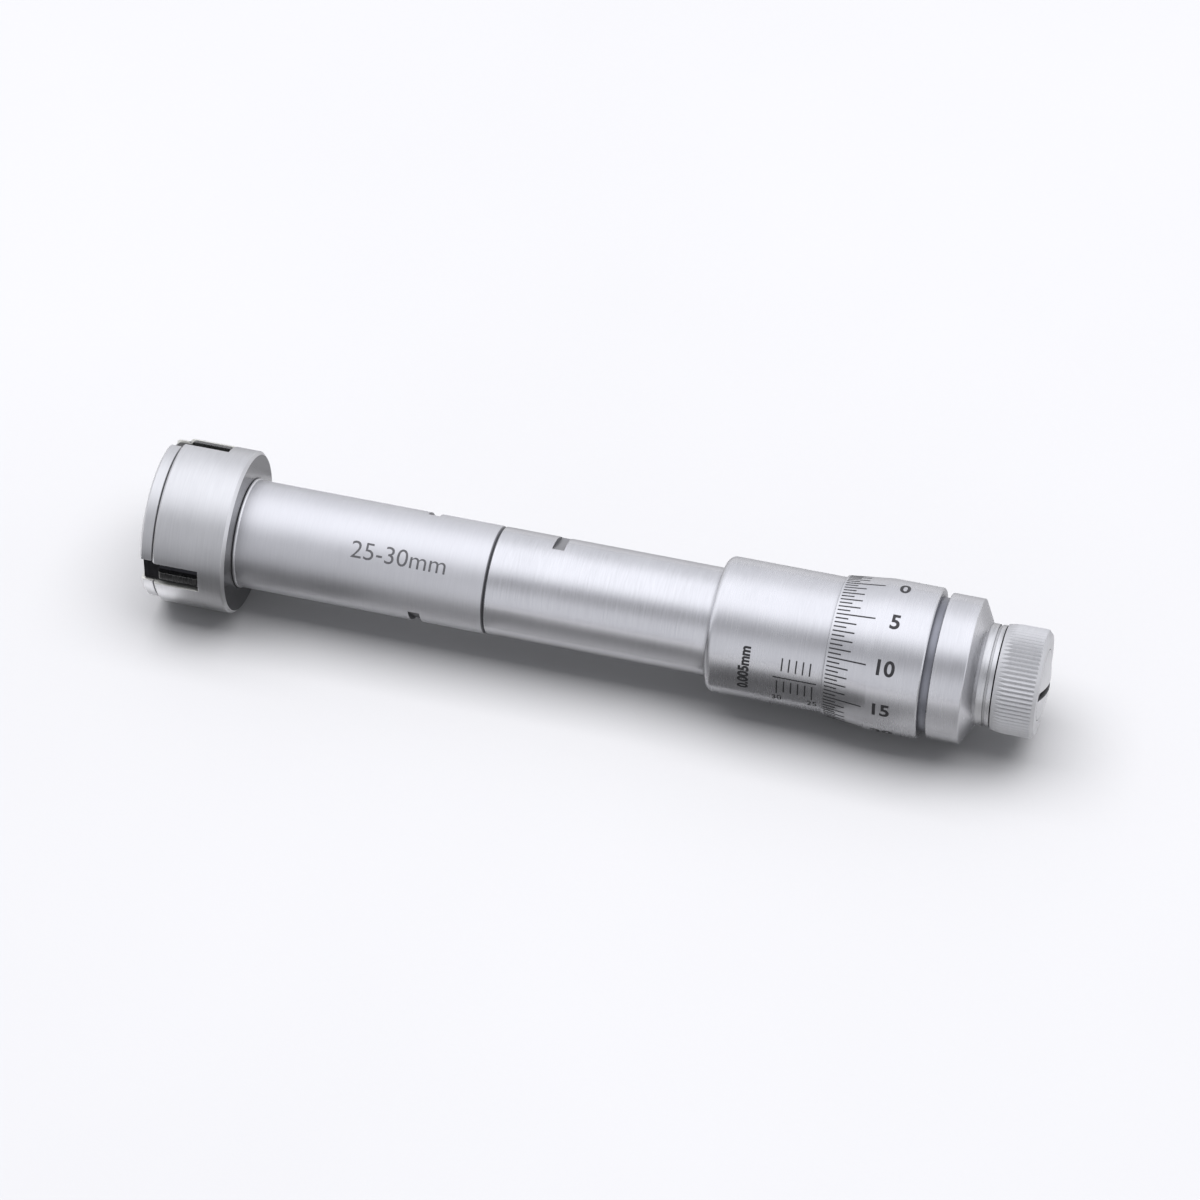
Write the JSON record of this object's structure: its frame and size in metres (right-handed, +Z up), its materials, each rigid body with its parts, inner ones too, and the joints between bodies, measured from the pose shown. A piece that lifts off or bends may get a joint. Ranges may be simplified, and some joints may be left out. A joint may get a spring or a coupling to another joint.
{
  "type": "three-point bore micrometer",
  "caption": "Satin steel internal micrometer: jaws in a round head open on a cone pushed by a turning thimble, with a knurled ratchet knob.",
  "frame": {"origin": "under the middle of the tool, on the surface that it lies on", "axes": "X along the tool's axis from the measuring head (-X) to the ratchet (+X), Z up, the scale turned up and towards -Y"},
  "size_m": [0.1287, 0.0235, 0.0235],
  "materials": {
    "steel": "fine turned, hard chromed",
    "satin_steel": "satin hard chrome",
    "dark_steel": "blackened",
    "black_steel": "black oxide, ground",
    "hard_metal": "ground sintered carbide",
    "ground_steel": "hardened and ground",
    "spring_steel": "plain drawn wire and strip",
    "bronze": "turned bearing bronze"
  },
  "bodies": {
    "frame": {"front_cover": "steel", "cover_screws": "dark_steel", "head_body": "steel", "leaf_spring_a": "spring_steel", "leaf_spring_b": "spring_steel", "leaf_spring_c": "spring_steel", "front_bush": "bronze", "rear_bush": "bronze", "return_spring": "spring_steel", "front_tube": "satin_steel", "rear_tube": "satin_steel", "sleeve": "satin_steel", "nut_bush": "ground_steel", "adjuster": "ground_steel"},
    "cone_rod": {"cone": "ground_steel", "push_rod": "ground_steel", "rod_ball": "ground_steel", "spring_washer": "spring_steel", "rod_clip": "spring_steel"},
    "thimble": {"spindle": "ground_steel", "thimble": "satin_steel", "thimble_spacer": "dark_steel", "clamp_nut": "satin_steel", "ratchet_base": "satin_steel", "end_washer": "spring_steel", "end_screw": "satin_steel"},
    "ratchet": {"ratchet_knob": "satin_steel", "ratchet_clutch": "ground_steel", "ratchet_spring": "spring_steel"},
    "jaw_a": {"jaw_a": "black_steel", "jaw_strip_a": "hard_metal"},
    "jaw_b": {"jaw_b": "black_steel", "jaw_strip_b": "hard_metal"},
    "jaw_c": {"jaw_c": "black_steel", "jaw_strip_c": "hard_metal"}
  },
  "joints": [
    {"name": "cone_slide", "type": "slide", "parent": "frame", "child": "cone_rod", "axis": [-1, 0, 0], "range_m": [0, 0.00636], "deforming": ["return_spring"]},
    {"name": "thimble_turn", "type": "hinge", "parent": "cone_rod", "child": "thimble", "pos_m": [0, 0, 0.01175], "axis": [-1, 0, 0], "range_deg": [0, 4582.81]},
    {"name": "ratchet_turn", "type": "hinge", "parent": "thimble", "child": "ratchet", "pos_m": [0, 0, 0.01175], "axis": [-1, 0, 0], "continuous": true},
    {"name": "jaw_a_slide", "type": "slide", "parent": "frame", "child": "jaw_a", "axis": [0, 0.3762, -0.9265], "range_m": [0, 0.00318], "deforming": ["leaf_spring_a"]},
    {"name": "jaw_b_slide", "type": "slide", "parent": "frame", "child": "jaw_b", "axis": [0, 0.6143, 0.7891], "range_m": [0, 0.00318], "deforming": ["leaf_spring_b"]},
    {"name": "jaw_c_slide", "type": "slide", "parent": "frame", "child": "jaw_c", "axis": [0, -0.9905, 0.1374], "range_m": [0, 0.00318], "deforming": ["leaf_spring_c"]}
  ],
  "couplings": [
    {"joint": "thimble_turn", "follows": "cone_slide", "rad_per_m": 12566},
    {"joint": "jaw_a_slide", "follows": "cone_slide", "ratio": 0.5},
    {"joint": "jaw_b_slide", "follows": "cone_slide", "ratio": 0.5},
    {"joint": "jaw_c_slide", "follows": "cone_slide", "ratio": 0.5}
  ]
}
